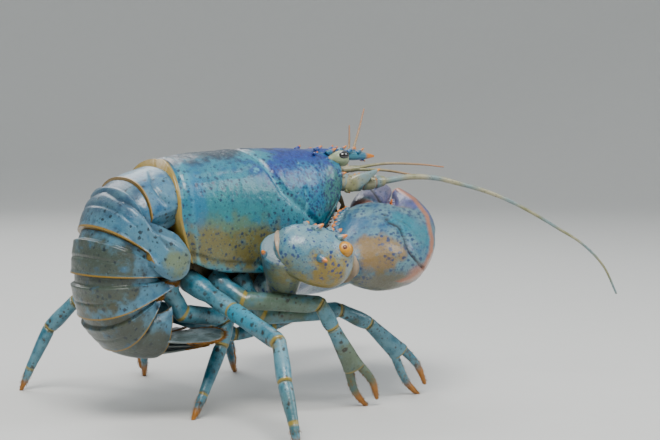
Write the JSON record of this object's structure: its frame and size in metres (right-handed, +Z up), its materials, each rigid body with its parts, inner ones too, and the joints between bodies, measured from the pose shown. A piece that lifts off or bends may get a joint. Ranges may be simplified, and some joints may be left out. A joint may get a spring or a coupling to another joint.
{
  "type": "american lobster",
  "caption": "Life-size American lobster standing still: blue shell, curled jointed abdomen with tail fan, walking legs, crusher and cutter claws, long antennae.",
  "frame": {"origin": "centre of the bounding box on the floor under the animal", "axes": "+X forward, from the tail to the head; +Y to the animal's left; +Z up"},
  "size_m": [0.2944, 0.2234, 0.1502],
  "materials": {
    "shell_blue": "glossy chitin, teal blue with dark spots",
    "shell_pale": "satin chitin, pale grey blue",
    "claw_blue": "glossy chitin, blue with violet and orange",
    "leg_blue": "satin chitin, pale teal blue",
    "underside": "satin, tan underside and mouthparts",
    "feeler": "satin, olive cream",
    "eye_black": "very glossy black"
  },
  "bodies": {
    "root": {"abdomen_1": "shell_blue", "abdomen_2": "shell_blue", "abdomen_3": "shell_blue", "abdomen_4": "shell_blue", "abdomen_5": "shell_blue", "abdomen_6": "shell_blue", "antenna_base_l": "feeler", "antenna_base_r": "feeler", "antenna_flagellum_l": "feeler", "antenna_flagellum_r": "feeler", "antennule_l": "feeler", "antennule_r": "feeler", "carapace": "shell_blue", "claw_l_carpus": "claw_blue", "claw_l_dactyl": "claw_blue", "claw_l_merus": "claw_blue", "claw_l_propodus": "claw_blue", "claw_r_carpus": "claw_blue", "claw_r_dactyl": "claw_blue", "claw_r_merus": "claw_blue", "claw_r_propodus": "claw_blue", "eye_l": "eye_black", "eye_r": "eye_black", "leg_2_l_carpus": "leg_blue", "leg_2_l_foot": "leg_blue", "leg_2_l_merus": "leg_blue", "leg_2_r_carpus": "leg_blue", "leg_2_r_foot": "leg_blue", "leg_2_r_merus": "leg_blue", "leg_3_l_carpus": "leg_blue", "leg_3_l_foot": "leg_blue", "leg_3_l_merus": "leg_blue", "leg_3_r_carpus": "leg_blue", "leg_3_r_foot": "leg_blue", "leg_3_r_merus": "leg_blue", "leg_4_l_carpus": "leg_blue", "leg_4_l_foot": "leg_blue", "leg_4_l_merus": "leg_blue", "leg_4_r_carpus": "leg_blue", "leg_4_r_foot": "leg_blue", "leg_4_r_merus": "leg_blue", "leg_5_l_carpus": "leg_blue", "leg_5_l_foot": "leg_blue", "leg_5_l_merus": "leg_blue", "leg_5_r_carpus": "leg_blue", "leg_5_r_foot": "leg_blue", "leg_5_r_merus": "leg_blue", "maxilliped_l": "underside", "maxilliped_r": "underside", "sternum": "underside", "telson": "shell_pale", "uropod_endopod_l": "shell_pale", "uropod_endopod_r": "shell_pale", "uropod_exopod_l": "shell_pale", "uropod_exopod_r": "shell_pale"}
  },
  "joints": []
}
